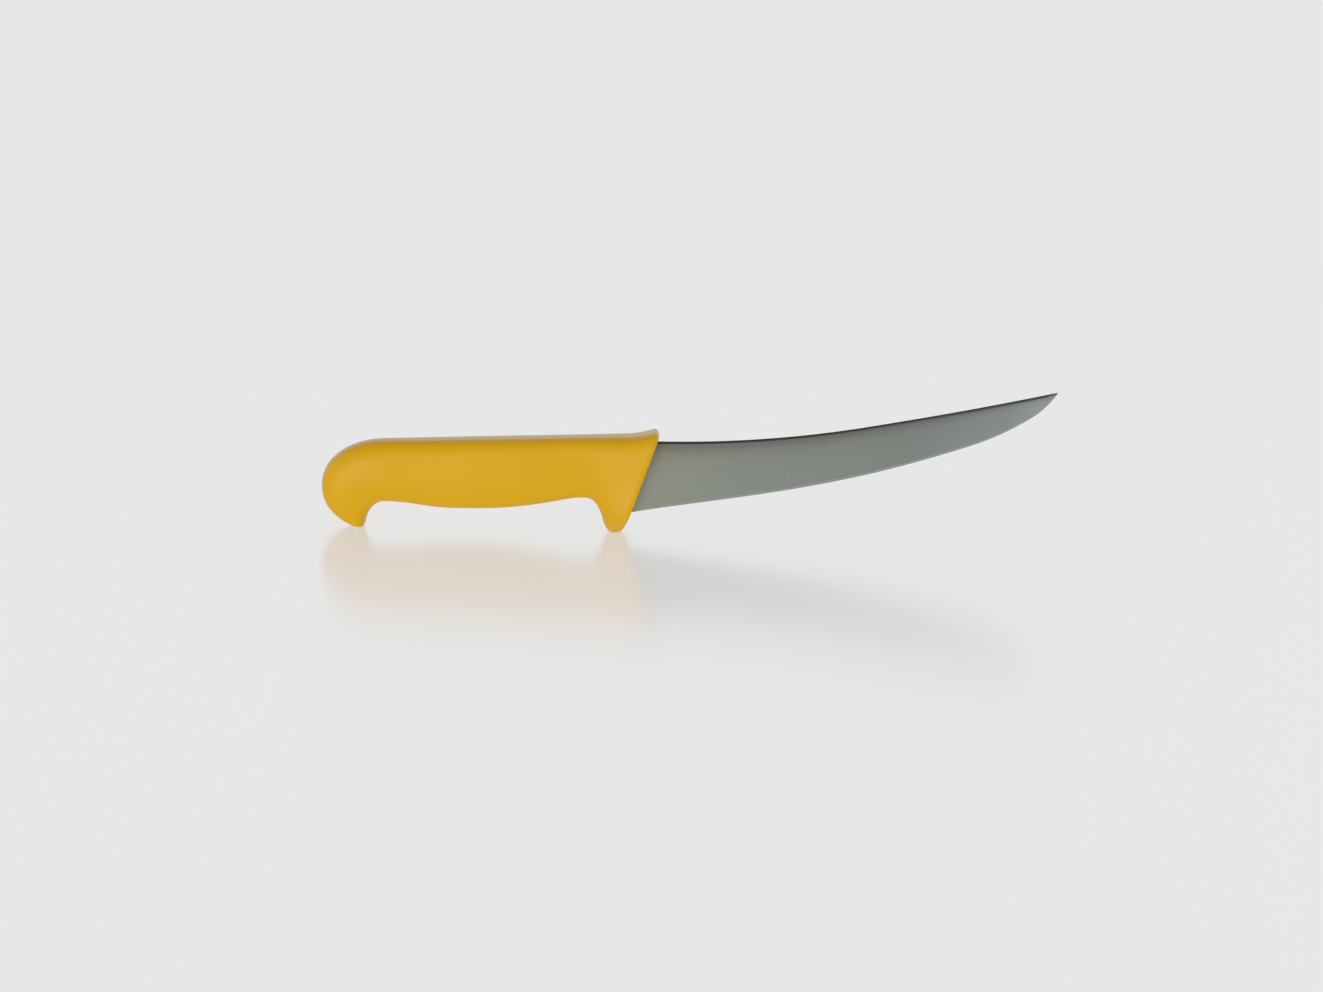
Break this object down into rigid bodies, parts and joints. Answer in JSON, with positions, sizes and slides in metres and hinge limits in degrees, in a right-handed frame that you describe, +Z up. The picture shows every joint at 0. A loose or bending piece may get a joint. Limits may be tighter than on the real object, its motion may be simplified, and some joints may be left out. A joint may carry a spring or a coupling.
{
  "type": "boning knife",
  "caption": "Curved boning knife: a slim steel blade that sweeps up to its point, in a moulded yellow handle with a finger guard, thumb lip and hooked pommel.",
  "frame": {"origin": "middle of the guard's foot, on the surface that the knife stands on", "axes": "+X along the knife towards the point, +Y across it, +Z up from the feet"},
  "size_m": [0.287, 0.024, 0.0586],
  "materials": {
    "blade_steel": "fine satin grind across the face, brighter sharpened bevel",
    "grip_plastic": "yellow moulded polymer with a fine spark-eroded grain",
    "core_plastic": "natural polymer as moulded, hidden inside the grip"
  },
  "bodies": {
    "root": {"blade": "blade_steel", "handle_core": "core_plastic", "handle_grip": "grip_plastic"}
  },
  "joints": []
}
